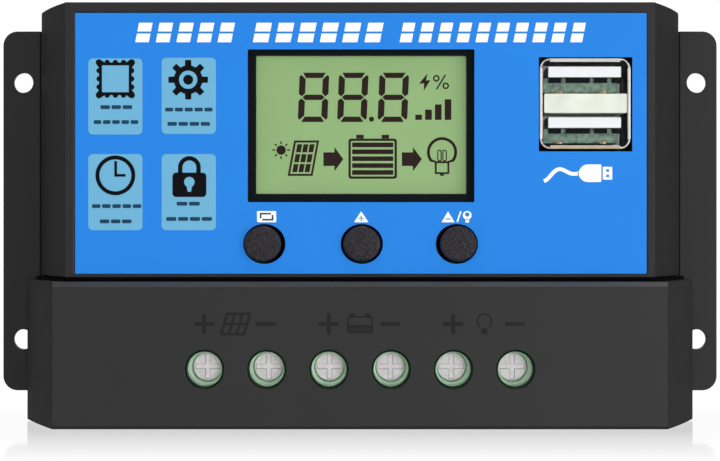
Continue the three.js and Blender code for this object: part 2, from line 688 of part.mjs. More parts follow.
// Stood on its bottom edge, facing -Y, with the origin under the middle of the case.
controller.rotation.x = Math.PI / 2;
controller.position.y = CASE.depth / 2;

const upright = new THREE.Group();
upright.add(controller);

export default upright;
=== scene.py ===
"""A wall-mounted solar charge controller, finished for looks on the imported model's frame.

Every piece is drawn face-on in millimetres: x to the right, y up the face from the bottom edge, and depth
out of the wall from the back plane. place() turns that into the row frame, which is in metres.
"""

import json
import math

import bmesh
import bpy
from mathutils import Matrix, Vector
from mathutils.geometry import tessellate_polygon


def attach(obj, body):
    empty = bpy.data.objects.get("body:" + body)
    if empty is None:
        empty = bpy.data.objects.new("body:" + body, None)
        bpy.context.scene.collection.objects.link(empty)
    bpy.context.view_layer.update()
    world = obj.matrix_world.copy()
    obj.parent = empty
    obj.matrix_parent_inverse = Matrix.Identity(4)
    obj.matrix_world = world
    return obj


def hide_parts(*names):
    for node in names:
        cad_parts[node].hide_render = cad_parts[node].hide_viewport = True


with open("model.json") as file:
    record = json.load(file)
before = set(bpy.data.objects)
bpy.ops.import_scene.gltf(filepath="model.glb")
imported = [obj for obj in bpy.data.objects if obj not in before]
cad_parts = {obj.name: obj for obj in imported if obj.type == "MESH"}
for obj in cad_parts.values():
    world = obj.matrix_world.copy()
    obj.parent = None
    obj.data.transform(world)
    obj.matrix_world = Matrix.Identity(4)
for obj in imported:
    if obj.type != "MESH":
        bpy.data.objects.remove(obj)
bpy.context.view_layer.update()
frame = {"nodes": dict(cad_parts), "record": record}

# ---- Dimensions, in millimetres ----

MM = 0.001
WALL_PLANE = 17.5  # the row frame's Y of the back plane
CLEAR = 1.0  # how far a cutter runs past the face that it opens

WALL = 2.0
PART_LINE = 8.3  # depth at which the shells start
LEAN_FROM = 9.0  # depth from which the sides lean in
SEAM_WALL = 1.8  # the walls of cover and hood that face each other
# Each shell's half width at the back, how its sides lean in, its front's depth, its ends, and how round
# its front edge is.
COVER = {"half": 54.85, "slope": 0.2, "curve": 0.0034, "front": 32.2, "y0": 24.75, "y1": 70.0, "round": 1.0}
HOOD = {"half": 57.3, "slope": 0.232, "curve": 0.0016, "front": 35.0, "y0": 0.0, "y1": 24.15, "round": 0.7}
BASE = {"half": 54.85, "height": 70.0, "floor": 2.0, "rim": 8.0}
EAR = {"half": 62.25, "y0": 4.6, "y1": 67.25, "depth": 2.6, "corner": 2.5}
MOUNT_HOLES = [(side * 58.8, y) for side in (-1, 1) for y in (13.5, 58.3)]
MOUNT_RADIUS = 1.75
CASE_SCREWS = [(-44, 65.2), (44, 65.2), (-46.5, 6.6), (46.5, 6.6)]
VENT = {"width": 1.8, "length": 15, "pitch": 7, "count": 7, "rows": (30, 52)}

LABEL = {"x0": -46.75, "x1": 47.05, "y0": 25.4, "y1": 68.2}
LABEL_THICKNESS = 0.3
FACE = COVER["front"]
WINDOW = (-18.43, 18.79, 37.15, 62.25)  # x from and to, y from and to
LCD_VIEW = (-17.13, 17.55, 38.54, 61.32)
LCD_FACE = 28.6
BEZEL_FRONT = 29.9
BUTTONS = {"menu": -15.7, "up": 0.3, "down": 15.9}
BUTTON_Y = 30.3
BUTTON_HOLE = 3.46
BUTTON_CAP = 3.05
BUTTON_SQUASH = 0.948  # a button's height over its width
CAP_SHIFT = 0.24  # how far the outer caps sit outwards of the middle of their holes
CAP_TOP = 33.55

USB = {"x": 36.98, "y": 53.35, "width": 14.9, "height": 14.9, "front": 31.9}
PORT = (29.35, 44.7, 45.48, 60.95)  # the sockets' hole in cover and label
POLES = [(i - 2.5) * 10.16 for i in range(6)]
POLE_Y = 9.82
WELL = 2.8  # the radius of the terminals' wells at the front
BLOCK_FRONT = 31.0
ENTRY_BACK, ENTRY_FRONT = 11, 17.4  # the wire entries' depth

CAMERA_DISTANCE = 500.0  # from the back plane
CAMERA_HEIGHT = 32.5


def place(x, y, depth):
    return Vector((x, WALL_PLANE - depth, y)) * MM


# ---- Outlines ----


def rectangle(x0, x1, y0, y1, radius=0.0, steps=6):
    if not radius:
        return [(x0, y0), (x1, y0), (x1, y1), (x0, y1)]
    corners = [(x1, y0, -90), (x1, y1, 0), (x0, y1, 90), (x0, y0, 180)]
    points = []
    for cx, cy, start in corners:
        cx -= math.copysign(radius, cx - (x0 + x1) / 2)
        cy -= math.copysign(radius, cy - (y0 + y1) / 2)
        points += arc(cx, cy, radius, start, start + 90, steps)
    return points


def arc(cx, cy, radius, start, end, steps):
    angles = [math.radians(start + (end - start) * i / steps) for i in range(steps + 1)]
    return [(cx + radius * math.cos(a), cy + radius * math.sin(a)) for a in angles]


def circle(cx, cy, radius, steps=40, squash=1.0):
    """A circle, or an oval whose height is that share of its width."""
    return [(x, cy + (y - cy) * squash) for x, y in arc(cx, cy, radius, 0, 360, steps)[:-1]]


def stroke(points, width):
    """The outline of an open line of that width, with mitred bends."""
    sides = ([], [])
    for i, (x, y) in enumerate(points):
        before = Vector(points[max(i - 1, 0)])
        here = Vector((x, y))
        after = Vector(points[min(i + 1, len(points) - 1)])
        into = (here - before).normalized() if i else (after - here).normalized()
        out = (after - here).normalized() if i < len(points) - 1 else into
        along = (into + out).normalized()
        normal = Vector((-along.y, along.x))
        reach = width / 2 / max(normal.dot(Vector((-into.y, into.x))), 0.3)
        sides[0].append(tuple(here + normal * reach))
        sides[1].append(tuple(here - normal * reach))
    return sides[1] + sides[0][::-1]


def ring(outer, inner):
    return [outer, inner]


def slanted(outline, slant, base):
    return [(x + (y - base) * slant, y) for x, y in outline]


# ---- Meshes ----


def link(name, bm):
    """Puts a finished mesh into the scene."""
    bmesh.ops.remove_doubles(bm, verts=bm.verts, dist=1e-8)
    bmesh.ops.recalc_face_normals(bm, faces=bm.faces)
    mesh = bpy.data.meshes.new(name)
    bm.to_mesh(mesh)
    bm.free()
    obj = bpy.data.objects.new(name, mesh)
    bpy.context.scene.collection.objects.link(obj)
    return obj


def skin(bm, rings):
    """Walls between matching loops of vertices, closed at both ends."""
    for low, high in zip(rings, rings[1:]):
        for i in range(len(low)):
            j = (i + 1) % len(low)
            bm.faces.new((low[i], low[j], high[j], high[i]))
    bm.faces.new(rings[0][::-1])
    bm.faces.new(rings[-1])


def prism(bm, outline, back, front):
    """An outline on the face, run from one depth to another."""
    skin(bm, [[bm.verts.new(place(x, y, d)) for x, y in outline] for d in (back, front)])


def across(bm, outline, x0, x1):
    """An outline in (y, depth), run across the case."""
    skin(bm, [[bm.verts.new(place(x, y, d)) for y, d in outline] for x in (x0, x1)])


def upright(bm, outline, y0, y1):
    """An outline in (x, depth), run up the face."""
    skin(bm, [[bm.verts.new(place(x, y, d)) for x, d in outline] for y in (y0, y1)])


def turned(bm, x, y, profile, steps=64, squash=1.0):
    """A round piece from its profile of (radius, depth), in order."""
    rings = []
    for radius, depth in profile:
        outline = circle(x, y, radius, steps, squash)
        rings.append([bm.verts.new(place(px, py, depth)) for px, py in outline])
    skin(bm, rings)


def slab(bm, loops, back, front):
    """A thin plate from an outline and its holes."""
    triangles = tessellate_polygon([[Vector((x, y, 0)) for x, y in loop] for loop in loops])
    lower, upper = ([bm.verts.new(place(x, y, d)) for loop in loops for x, y in loop] for d in (back, front))
    for corners in triangles:
        for layer in (lower, upper):
            if len(set(corners)) == 3:
                bm.faces.new([layer[corner] for corner in corners])
    start = 0
    for loop in loops:
        for i in range(len(loop)):
            j = (i + 1) % len(loop)
            bm.faces.new((lower[start + i], lower[start + j], upper[start + j], upper[start + i]))
        start += len(loop)


def apply_modifiers(obj):
    evaluated = obj.evaluated_get(bpy.context.evaluated_depsgraph_get())
    mesh = bpy.data.meshes.new_from_object(evaluated)
    obj.modifiers.clear()
    obj.data = mesh


def combine(obj, builder, operation):
    """Joins or cuts obj with what builder(bm) makes."""
    bm = bmesh.new()
    builder(bm)
    tool = link(obj.name + "_tool", bm)
    boolean = obj.modifiers.new("combine", "BOOLEAN")
    boolean.object = tool
    boolean.operation = operation
    boolean.solver = "EXACT"
    apply_modifiers(obj)
    bpy.data.objects.remove(tool)


def solid(name, builder):
    bm = bmesh.new()
    builder(bm)
    return link(name, bm)


def soften(obj, width, segments=3, angle=40):
    """Rounds an object's sharp edges and smooths its shading, with its flat faces kept flat."""
    bevel = obj.modifiers.new("edge", "BEVEL")
    bevel.width = width * MM
    bevel.segments = segments
    bevel.limit_method = "ANGLE"
    bevel.angle_limit = math.radians(angle)
    bevel.use_clamp_overlap = False
    bevel.miter_outer = "MITER_ARC"
    shade(obj)


def shade(obj):
    obj.data.shade_smooth()
    weighted = obj.modifiers.new("shading", "WEIGHTED_NORMAL")
    weighted.keep_sharp = True
    weighted.weight = 100


def dress(obj, material, body="case", replaces=()):
    """Gives a piece its finish and the body that it rides on."""
    obj.data.materials.clear()
    obj.data.materials.append(material)
    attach(obj, body)
    if replaces:
        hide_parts(*replaces)
    return obj


# ---- Finishes ----

UNEVEN_GLOSS = 0.05  # how far the roughness strays either way


def linear(*screen_color):
    """A screen colour of 0 to 255 as Blender's linear colour."""
    parts = [value / 255 for value in screen_color]
    return [c / 12.92 if c <= 0.04045 else ((c + 0.055) / 1.055) ** 2.4 for c in parts]


def finish(name, screen_color, roughness, grain, mottle=(6, 0.06), metallic=0.0, specular=0.5):
    """A procedural surface: mottled colour, uneven gloss, and a fine bump.

    grain is (size in mm, height in mm) of the bump, and mottle (size in mm, share of the colour).
    """
    color = linear(*screen_color)
    made = bpy.data.materials.new(name)
    made.use_nodes = True
    nodes, links = made.node_tree.nodes, made.node_tree.links
    shader = nodes["Principled BSDF"]
    shader.inputs["Metallic"].default_value = metallic
    shader.inputs["Specular IOR Level"].default_value = specular
    where = nodes.new("ShaderNodeTexCoord")

    def noise(size, detail):
        texture = nodes.new("ShaderNodeTexNoise")
        texture.inputs["Scale"].default_value = 1 / (size * MM)
        texture.inputs["Detail"].default_value = detail
        links.new(where.outputs["Object"], texture.inputs["Vector"])
        return texture.outputs["Fac"]

    size, share = mottle
    spread = nodes.new("ShaderNodeValToRGB")
    for element, factor, position in zip(spread.color_ramp.elements, (1 - share, 1 + share), (0.3, 0.7)):
        element.position = position
        element.color = (*[min(c * factor, 1.0) for c in color], 1.0)
    links.new(noise(size, 3), spread.inputs["Fac"])
    links.new(spread.outputs["Color"], shader.inputs["Base Color"])
    gloss = nodes.new("ShaderNodeMapRange")
    gloss.inputs["To Min"].default_value = roughness - UNEVEN_GLOSS
    gloss.inputs["To Max"].default_value = roughness + UNEVEN_GLOSS
    links.new(noise(size / 2.5, 2), gloss.inputs["Value"])
    links.new(gloss.outputs["Result"], shader.inputs["Roughness"])
    size, height = grain
    bump = nodes.new("ShaderNodeBump")
    bump.inputs["Strength"].default_value = 0.6
    bump.inputs["Distance"].default_value = height * MM
    links.new(noise(size, 2), bump.inputs["Height"])
    links.new(bump.outputs["Normal"], shader.inputs["Normal"])
    return made


BLACK = finish("moulded_black", (31, 31, 32), 0.45, (0.35, 0.006), (9, 0.05))
HOOD_BLACK = finish("hood_black", (37, 37, 37), 0.45, (0.35, 0.006), (12, 0.04))
# Painted shade: a near-black for the dark gap between the cover and the hood.
GAP_SHADE_BLACK = finish("painted_gap_shade", (9, 9, 14), 0.7, (0.4, 0.004), (3, 0.1), specular=0.05)
# Painted shade with a painted green reflection: the black hood's hole walls, darkened and tinted by the green
# block.
HOLE_SHADE_GREEN_REFLECTION = finish("painted_hole_shade_and_green_reflection", (10, 34, 18), 0.5, (0.4, 0.004), (3, 0.1), specular=0.15)
BEZEL = finish("bezel_black", (2, 9, 17), 0.35, (0.5, 0.002), specular=0.22)
BLUE = finish("label_blue", (41, 130, 222), 0.45, (0.3, 0.002), (14, 0.012), specular=0.12)
TILE = finish("tile_blue", (109, 175, 210), 0.45, (0.3, 0.002), (5, 0.012), specular=0.12)
WHITE_INK = finish("white_ink", (250, 251, 252), 0.5, (0.2, 0.001), (3, 0.01), specular=0.25)
DARK_INK = finish("dark_ink", (12, 12, 15), 0.6, (0.2, 0.001), (3, 0.05), specular=0.1)
CAPTION_INK = finish("caption_ink", (30, 66, 92), 0.6, (0.2, 0.001), (3, 0.05), specular=0.1)
PALE_INK = finish("pale_ink", (100, 160, 185), 0.6, (0.2, 0.001), (3, 0.05), specular=0.1)
HOOD_INK = finish("hood_ink", (33, 33, 33), 0.6, (0.2, 0.002), (3, 0.05), specular=0.2)
LCD_GREEN = finish("lcd_green", (144, 178, 121), 0.35, (0.15, 0.001), (10, 0.03), specular=0.3)
LCD_INK = finish("lcd_segment", (44, 32, 30), 0.5, (0.15, 0.001), (2, 0.08), specular=0.1)
RUBBER = finish("button_black", (31, 28, 34), 0.42, (0.4, 0.3), (0.5, 0.95), specular=0.45)
NICKEL = finish("nickel", (236, 232, 228), 0.3, (0.6, 0.004), (3, 0.06), metallic=0.5)
# Painted shade with a warm painted reflection: a darker, brownish copy of the nickel for the can's lower
# fold.
SHADED_NICKEL = finish("shaded_nickel", (206, 190, 168), 0.35, (0.6, 0.004), (2, 0.1), metallic=0.5)
BAND = finish("usb_band", (234, 239, 226), 0.35, (0.8, 0.006), (4, 0.1), metallic=0.25)
SCREW = finish("screw_nickel", (255, 238, 247), 0.42, (0.25, 0.01), (0.8, 0.1), metallic=0.05)
# Painted shade: a darker copy of the screw nickel that outlines the head and its cross.
SCREW_EDGE_SHADE = finish("screw_edge_painted_shade", (178, 170, 176), 0.4, (0.25, 0.01), (0.8, 0.1), metallic=0.1)
TONGUE = finish("usb_tongue", (234, 237, 239), 0.4, (0.3, 0.002), (2, 0.02))
TEAL = finish("usb_teal", (108, 132, 118), 0.45, (0.5, 0.05), (0.8, 0.5))
SHADOWED_STEEL = finish("usb_can_steel", (40, 40, 42), 0.5, (0.6, 0.004), (3, 0.08), metallic=0.9)
GREEN = finish("terminal_green", (214, 248, 218), 0.4, (0.3, 0.004), (3, 0.08), specular=0.4)
BOARD = finish("board_green", (26, 92, 50), 0.35, (0.5, 0.004), (2, 0.15))
COPPER = finish("tinned_copper", (206, 180, 140), 0.35, (0.3, 0.006), (1.5, 0.1), metallic=1.0)
DARK_STEEL = finish("black_steel", (50, 50, 54), 0.4, (0.2, 0.004), (1, 0.12), metallic=0.9)
SHEET_METAL = finish("aluminium", (190, 192, 196), 0.4, (0.8, 0.01), (5, 0.08), metallic=1.0)
MILKY = finish("light_guide", (232, 236, 228), 0.45, (0.4, 0.002), (6, 0.03))
EPOXY = finish("epoxy_black", (30, 30, 32), 0.5, (0.15, 0.01), (1, 0.15))
SLEEVE = finish("capacitor_sleeve", (34, 48, 78), 0.3, (0.6, 0.004), (2, 0.08))

SLOT_FINISHES = {
    "black_plastic": BLACK,
    "blue_label": BLUE,
    "button_plastic": RUBBER,
    "lcd_green": LCD_GREEN,
    "diffuser": MILKY,
    "board_green": BOARD,
    "terminal_green": GREEN,
    "plated_steel": SCREW,
    "tinned_copper": COPPER,
    "black_steel": DARK_STEEL,
    "aluminium": SHEET_METAL,
    "white_plastic": TONGUE,
    "component_black": EPOXY,
    "capacitor_sleeve": SLEEVE,
}

NODE_EDGE = 0.08

# Every CAD node gets a finish by its record slot, and softened edges. Some are replaced below.
for row in frame["record"]["subparts"]:
    node = frame["nodes"][row["node"]]
    node.data.materials.clear()
    node.data.materials.append(SLOT_FINISHES[row["material_slot"]])
    weld = node.modifiers.new("weld", "WELD")
    weld.merge_threshold = 0.001 * MM
    edge = node.modifiers.new("edge", "BEVEL")
    edge.width = NODE_EDGE * MM
    edge.segments = 2
    edge.limit_method = "ANGLE"
    edge.angle_limit = math.radians(50)

# ---- The three mouldings ----


def half_width(shell, inset, depth):
    lean = max(depth - LEAN_FROM, 0)
    return shell["half"] - inset - shell["slope"] * lean - shell["curve"] * lean * lean


def case_section(shell, inset, back, front, rounding):
    """The section across a shell as (x, depth): straight, then leaning in, and round at the front edges."""
    side = [(half_width(shell, inset, d), d) for d in (back, LEAN_FROM)]
    steps = 10
    for i in range(1, steps + 1):
        d = LEAN_FROM + (front - rounding - LEAN_FROM) * i / steps
        side.append((half_width(shell, inset, d), d))
    if rounding:
        start = Vector(side[-1])
        end = Vector((half_width(shell, inset, front), front))
        bend = Vector((start.x * 0.6 + end.x * 0.4, front - rounding * 0.02))
        for i in range(1, 9):
            t = i / 8
            side.append(tuple(start * (1 - t) ** 2 + bend * 2 * t * (1 - t) + end * t * t))
    return side + [(-x, d) for x, d in reversed(side)]


def shell_walls(name, shell, bottom_wall, top_wall):
    """A moulding that is open at the back, with its end walls that thick."""
    outer = case_section(shell, 0, PART_LINE, shell["front"], shell["round"])
    inner = case_section(shell, WALL, PART_LINE - CLEAR, shell["front"] - WALL, 0)
    made = solid(name, lambda bm: upright(bm, outer, shell["y0"], shell["y1"]))
    cavity = (shell["y0"] + bottom_wall, shell["y1"] - top_wall)
    combine(made, lambda bm: upright(bm, inner, *cavity), "DIFFERENCE")
    return made


def face_openings():
    """The outlines of the holes in the face: the window, the sockets and the three buttons."""
    holes = [circle(x, BUTTON_Y, BUTTON_HOLE, 72, BUTTON_SQUASH) for x in BUTTONS.values()]
    return [rectangle(*WINDOW, radius=0.25, steps=3), rectangle(*PORT), *holes]


def cover_openings(bm):
    for outline in face_openings():
        prism(bm, outline, FACE - WALL - CLEAR, FACE + CLEAR)


def label_pocket(bm):
    margin = 0.03
    pocket = (LABEL["x0"] - margin, LABEL["x1"] + margin, LABEL["y0"] - margin, LABEL["y1"] + margin)
    prism(bm, rectangle(*pocket), FACE - 2 * LABEL_THICKNESS, FACE + CLEAR)


cover = shell_walls("display_cover", COVER, SEAM_WALL, WALL)
combine(cover, label_pocket, "DIFFERENCE")
combine(cover, cover_openings, "DIFFERENCE")
soften(cover, 0.22)
dress(cover, BLACK, replaces=["front_cover"])


def hood_edge_chamfers(bm):
    top, front = HOOD["y1"], HOOD["front"]
    upper = [(top - 0.95, front + 0.05), (top + 0.1, front - 1.1), (top + 1, front + 1)]
    lower = [(0.48, front + 0.03), (-0.05, front - 1), (-1, front + 1)]
    for outline in (upper, lower):
        across(bm, outline, -70, 70)


def hood_collars(bm):
    """Walls inside the hood, from the front down to the terminals round each screw."""
    for x in POLES:
        turned(bm, x, POLE_Y, [(3.7, BLOCK_FRONT + 0.2), (3.7, HOOD["front"] - 1)], 48)


def hood_openings(bm):
    front = HOOD["front"]
    hole = [(2.88, front - 5), (2.88, front - 0.3), (3.18, front - 0.02), (3.6, front + 0.4)]
    for x in POLES:
        turned(bm, x, POLE_Y, hole, 72)
        prism(bm, rectangle(x - 3.6, x + 3.6, -CLEAR, WALL + CLEAR), ENTRY_BACK, ENTRY_FRONT)


hood = shell_walls("wire_hood", HOOD, WALL, SEAM_WALL)
combine(hood, hood_edge_chamfers, "DIFFERENCE")
combine(hood, hood_collars, "UNION")
combine(hood, hood_openings, "DIFFERENCE")
soften(hood, 0.15)
dress(hood, HOOD_BLACK, replaces=["terminal_hood"])
# The faces inside the terminal holes take the painted shade and green reflection, not the hood's black.
hood.data.materials.append(HOLE_SHADE_GREEN_REFLECTION)
for face in hood.data.polygons:
    x, y = face.center.x / MM, face.center.z / MM
    in_hole = min(math.dist((x, y), (pole, POLE_Y)) for pole in POLES) < 3.3
    face.material_index = int(in_hole and face.normal.y > -0.95)


def seam_lip(bm):
    """The hood's rim, which closes the gap under the cover a little way in from the front."""
    rim = case_section(HOOD, 1.5, PART_LINE + 0.3, HOOD["front"] - 5.5, 0)
    upright(bm, rim, HOOD["y1"] - 0.8, COVER["y0"] - 0.08)


# Its near-black finish is painted shade, the dark of the gap under the cover.
seam = solid("seam_lip", seam_lip)
soften(seam, 0.05, 1)
dress(seam, GAP_SHADE_BLACK)


def base_tray(bm):
    prism(bm, rectangle(-BASE["half"], BASE["half"], 0, BASE["height"]), 0, BASE["rim"])


def base_ears(bm):
    prism(bm, rectangle(-EAR["half"], EAR["half"], EAR["y0"], EAR["y1"], EAR["corner"], 10), 0, EAR["depth"])


def ear_grooves(bm):
    """A fine groove down each ear, along the case's side."""
    for side in (-1, 1):
        left, right = sorted((side * (BASE["half"] + 0.5), side * (BASE["half"] + 0.95)))
        prism(bm, rectangle(left, right, 0, BASE["height"]), EAR["depth"] - 0.35, EAR["depth"] + CLEAR)


def base_cavity(bm):
    half = BASE["half"] - WALL
    prism(bm, rectangle(-half, half, WALL, BASE["height"] - WALL), BASE["floor"], BASE["rim"] + CLEAR)


def base_bosses(bm):
    for x, y in CASE_SCREWS:
        turned(bm, x, y, [(3.4, 1), (3.4, 7.5)], 48)


def base_holes(bm):
    for x, y in MOUNT_HOLES:
        turned(bm, x, y, [(MOUNT_RADIUS, -CLEAR), (MOUNT_RADIUS, EAR["depth"] + CLEAR)], 56)
    for x, y in CASE_SCREWS:
        turned(bm, x, y, [(2.9, -CLEAR), (2.9, 2.4), (1.7, 2.4), (1.7, 9)], 48)
    half_x, half_y = VENT["width"] / 2, VENT["length"] / 2
    for y in VENT["rows"]:
        for i in range(VENT["count"]):
            x = (i - (VENT["count"] - 1) / 2) * VENT["pitch"]
            vent = rectangle(x - half_x, x + half_x, y - half_y, y + half_y, half_x - 0.02, 5)
            prism(bm, vent, -CLEAR, BASE["floor"] + CLEAR)


base = solid("wall_base", base_tray)
combine(base, base_ears, "UNION")
combine(base, ear_grooves, "DIFFERENCE")
combine(base, base_cavity, "DIFFERENCE")
combine(base, base_bosses, "UNION")
combine(base, base_holes, "DIFFERENCE")
soften(base, 0.12)
dress(base, BLACK, replaces=["rear_base"])

# ---- Label ----


def label_sheet(bm):
    outline = rectangle(LABEL["x0"], LABEL["x1"], LABEL["y0"], LABEL["y1"])
    slab(bm, [outline, *face_openings()], FACE - LABEL_THICKNESS, FACE)


label = solid("blue_label", label_sheet)
dress(label, BLUE, replaces=["face_label"])

INK = 0.03
INK_ROOT = 0.01  # how deep the ink reaches into the surface


def ink(name, shapes, material, surface, level=1):
    """Printed shapes, each an outline with its holes, standing a hair proud of the surface under them."""
    bm = bmesh.new()
    for loops in shapes:
        slab(bm, loops, surface + (level - 1) * INK - INK_ROOT, surface + level * INK)
    dress(link(name, bm), material)


TILES = [(-40.15, 54.5), (-28.1, 54.6), (-40.15, 38.8), (-28.1, 38.8)]
HALF_TILE = (4.45, 6.25)
tiles = []
for x, y in TILES:
    tiles.append([rectangle(x - HALF_TILE[0], x + HALF_TILE[0], y - HALF_TILE[1], y + HALF_TILE[1], 0.75)])
ink("tiles", tiles, TILE, FACE)


def chip_icon(x, y):
    """A square frame with a scalloped edge."""
    half, bump, corner, inner = 2.68, 0.44, 0.54, 2.2
    outline = []
    for turn in range(4):
        side = []
        for i in range(-1, 2):
            side += arc(i * half * 0.5, -half, bump, 180, 360, 8)
        side += arc(half, -half, corner, -135, 45, 12)
        angle = math.radians(90 * turn)
        cos, sin = math.cos(angle), math.sin(angle)
        outline += [(x + px * cos - py * sin, y + px * sin + py * cos) for px, py in side]
    return ring(outline, rectangle(x - inner, x + inner, y - inner, y + inner))


def gear_icon(x, y):
    tip, root, hole = 3.28, 2.36, 1.5
    outline = []
    for tooth in range(8):
        middle = tooth * 45
        tip_half, root_half = 8.5, 13
        for radius, offset in ((root, -root_half), (tip, -tip_half), (tip, tip_half), (root, root_half)):
            angle = math.radians(middle + offset)
            outline.append((x + radius * math.cos(angle), y + radius * math.sin(angle)))
        outline += arc(x, y, root, middle + root_half + 3, middle + 45 - root_half - 3, 2)
    return ring(outline, circle(x, y, hole))


def clock_icon(x, y):
    hands = stroke([(x + 0.05, y + 2.35), (x + 0.05, y + 0.0), (x + 1.65, y + 0.0)], 0.45)
    return [ring(circle(x, y, 3.27, 56), circle(x, y, 2.62, 56)), [hands]]


def padlock_icon(x, y):
    """The lock's body with its keyhole, and the shackle over it; y is the body's middle."""
    body = rectangle(x - 2.78, x + 2.78, y - 2.0, y + 2.0, 0.6)
    keyhole = arc(x, y + 0.45, 0.86, -60, 240, 24) + [(x - 0.28, y - 1.15), (x + 0.28, y - 1.15)]
    reach, inset, foot = 1.86, 1.14, y + 1.9
    outer = arc(x, y + 2.85, reach, 0, 180, 20)
    inner = arc(x, y + 2.85, inset, 180, 0, 20)
    shackle = [(x + reach, foot), *outer, (x - reach, foot), (x - inset, foot), *inner, (x + inset, foot)]
    return [[body, keyhole], [shackle]]


icons = [chip_icon(-40.15, 57.4), gear_icon(-28.2, 57.25), [circle(-28.2, 57.25, 0.82)]]
icons += clock_icon(-40.15, 41.55)
icons += padlock_icon(-28.0, 40.0)
ink("icons", icons, DARK_INK, FACE, 2)


def dashes(x0, x1, y, height, count, gap=0.28):
    """A caption line made of plain dashes in place of words."""
    width = (x1 - x0 - gap * (count - 1)) / count
    lefts = [x0 + i * (width + gap) for i in range(count)]
    return [[rectangle(left, left + width, y - height / 2, y + height / 2, 0.18, 3)] for left in lefts]


CAPTIONS = [
    (-42.6, -37.4, 52.75, 3),
    (-43.7, -36.4, 50.3, 5),
    (-32.0, -24.2, 52.35, 5),
    (-31.6, -24.6, 50.0, 4),
    (-44.0, -35.9, 36.5, 5),
    (-42.7, -37.5, 34.0, 3),
    (-30.1, -26.3, 36.9, 2),
    (-31.8, -24.3, 34.4, 4),
]
captions = [shape for x0, x1, y, count in CAPTIONS for shape in dashes(x0, x1, y, 0.62, count)]
ink("caption_dashes", captions, CAPTION_INK, FACE, 2)

BAND_GROUPS = [(-36.9, -20.0, 5), (-17.6, 4.4, 6), (6.5, 37.6, 10)]
BAND_Y0, BAND_Y1 = 63.4, 66.6
band = []
for x0, x1, count in BAND_GROUPS:
    pitch = (x1 - x0) / count
    for i in range(count):
        left = x0 + i * pitch
        middle = (BAND_Y0 + BAND_Y1) / 2
        for low, high in ((BAND_Y0, middle - 0.17), (middle + 0.17, BAND_Y1)):
            cell = rectangle(left, left + pitch - 1.15, low, high)
            band.append([slanted(cell, 0.2, BAND_Y0)])
ink("cell_band", band, WHITE_INK, FACE)

# ---- Marks by the buttons and the sockets ----

MARK_Y = 34.75


def triangle(x, y, width, height):
    return [(x - width / 2, y - height / 2), (x + width / 2, y - height / 2), (x, y + height / 2)]


def plus(x, y, size, width):
    a, b = size / 2, width / 2
    return [
        (x - a, y - b), (x - b, y - b), (x - b, y - a), (x + b, y - a), (x + b, y - b), (x + a, y - b),
        (x + a, y + b), (x + b, y + b), (x + b, y + a), (x - b, y + a), (x - b, y + b), (x - a, y + b),
    ]  # fmt: skip


def minus(x, y, size, width):
    return rectangle(x - size / 2, x + size / 2, y - width / 2, y + width / 2)


marks = [[rectangle(-16.9, -13.75, 33.85, 35.68, 0.15, 3)]]
marks += [[triangle(0.2, MARK_Y, 2.4, 1.8)], [triangle(14.45, MARK_Y, 2.15, 1.8)]]
marks += [[stroke([(15.95, 33.9), (16.55, 35.65)], 0.26)]]
marks += [ring(circle(17.6, 35.0, 0.72, 28), circle(17.6, 35.14, 0.36, 24))]
marks += [[rectangle(17.3, 17.9, 33.8, 34.42)]]
PLUG_Y = 41.9
lead = []
for i in range(25):
    swing = math.cos(math.radians(180 + 15 * i)) * (1 - i / 24)
    lead.append((30.2 + 5.7 * i / 24, PLUG_Y + 1.3 * swing))
marks.append([stroke(lead, 0.62)])
upper, lower = arc(37.4, PLUG_Y, 1.45, 150, 90, 6), arc(37.4, PLUG_Y, 1.45, 270, 210, 6)
marks.append([[(35.7, PLUG_Y), *upper, (39.6, PLUG_Y + 1.45), (39.6, PLUG_Y - 1.45), *lower]])
marks.append([rectangle(39.85, 41.4, PLUG_Y - 1.05, PLUG_Y + 1.05)])
for hole in (-0.45, 0.45):
    marks[-1].append(rectangle(40.4, 40.9, PLUG_Y + hole - 0.22, PLUG_Y + hole + 0.22))
ink("white_marks", marks, WHITE_INK, FACE)

loop = [
    [stroke([(-14.35, 35.05), (-14.35, 34.27), (-16.05, 34.27)], 0.27)],
    [stroke([(-16.3, 34.5), (-16.3, 35.27), (-14.6, 35.27)], 0.27)],
]
ink("loop_mark", loop, CAPTION_INK, FACE, 2)
signs = [[plus(0.2, MARK_Y - 0.25, 0.85, 0.2)], [minus(14.45, MARK_Y - 0.35, 0.85, 0.2)]]
ink("sign_marks", signs, PALE_INK, FACE, 2)

# ---- Screen ----


BEZEL_EDGE = rectangle(-20.65, 20.85, 35.15, 64.65)


def bezel_plate(bm):
    slab(bm, [BEZEL_EDGE, rectangle(*LCD_VIEW, radius=0.15, steps=2)], BEZEL_FRONT - 1, BEZEL_FRONT)


def bezel_walls(bm):
    slab(bm, [BEZEL_EDGE, rectangle(-19.9, 20.1, 35.9, 63.9)], 21.5, BEZEL_FRONT - 0.95)


bezel = solid("screen_bezel", bezel_plate)
combine(bezel, bezel_walls, "UNION")
soften(bezel, 0.12, 2)
dress(bezel, BEZEL, replaces=["lcd_frame"])

screen = solid("screen", lambda bm: prism(bm, rectangle(-19.5, 19.7, 36.3, 63.5, 0.2, 3), 26.6, LCD_FACE))
dress(screen, LCD_GREEN, replaces=["lcd_glass"])

DIGIT = {"width": 4.9, "height": 8.15, "upright": 1.04, "flat": 0.88, "gap": 0.12, "cut": 0.28, "slant": 0.04}
DIGIT_BASE = 50.45


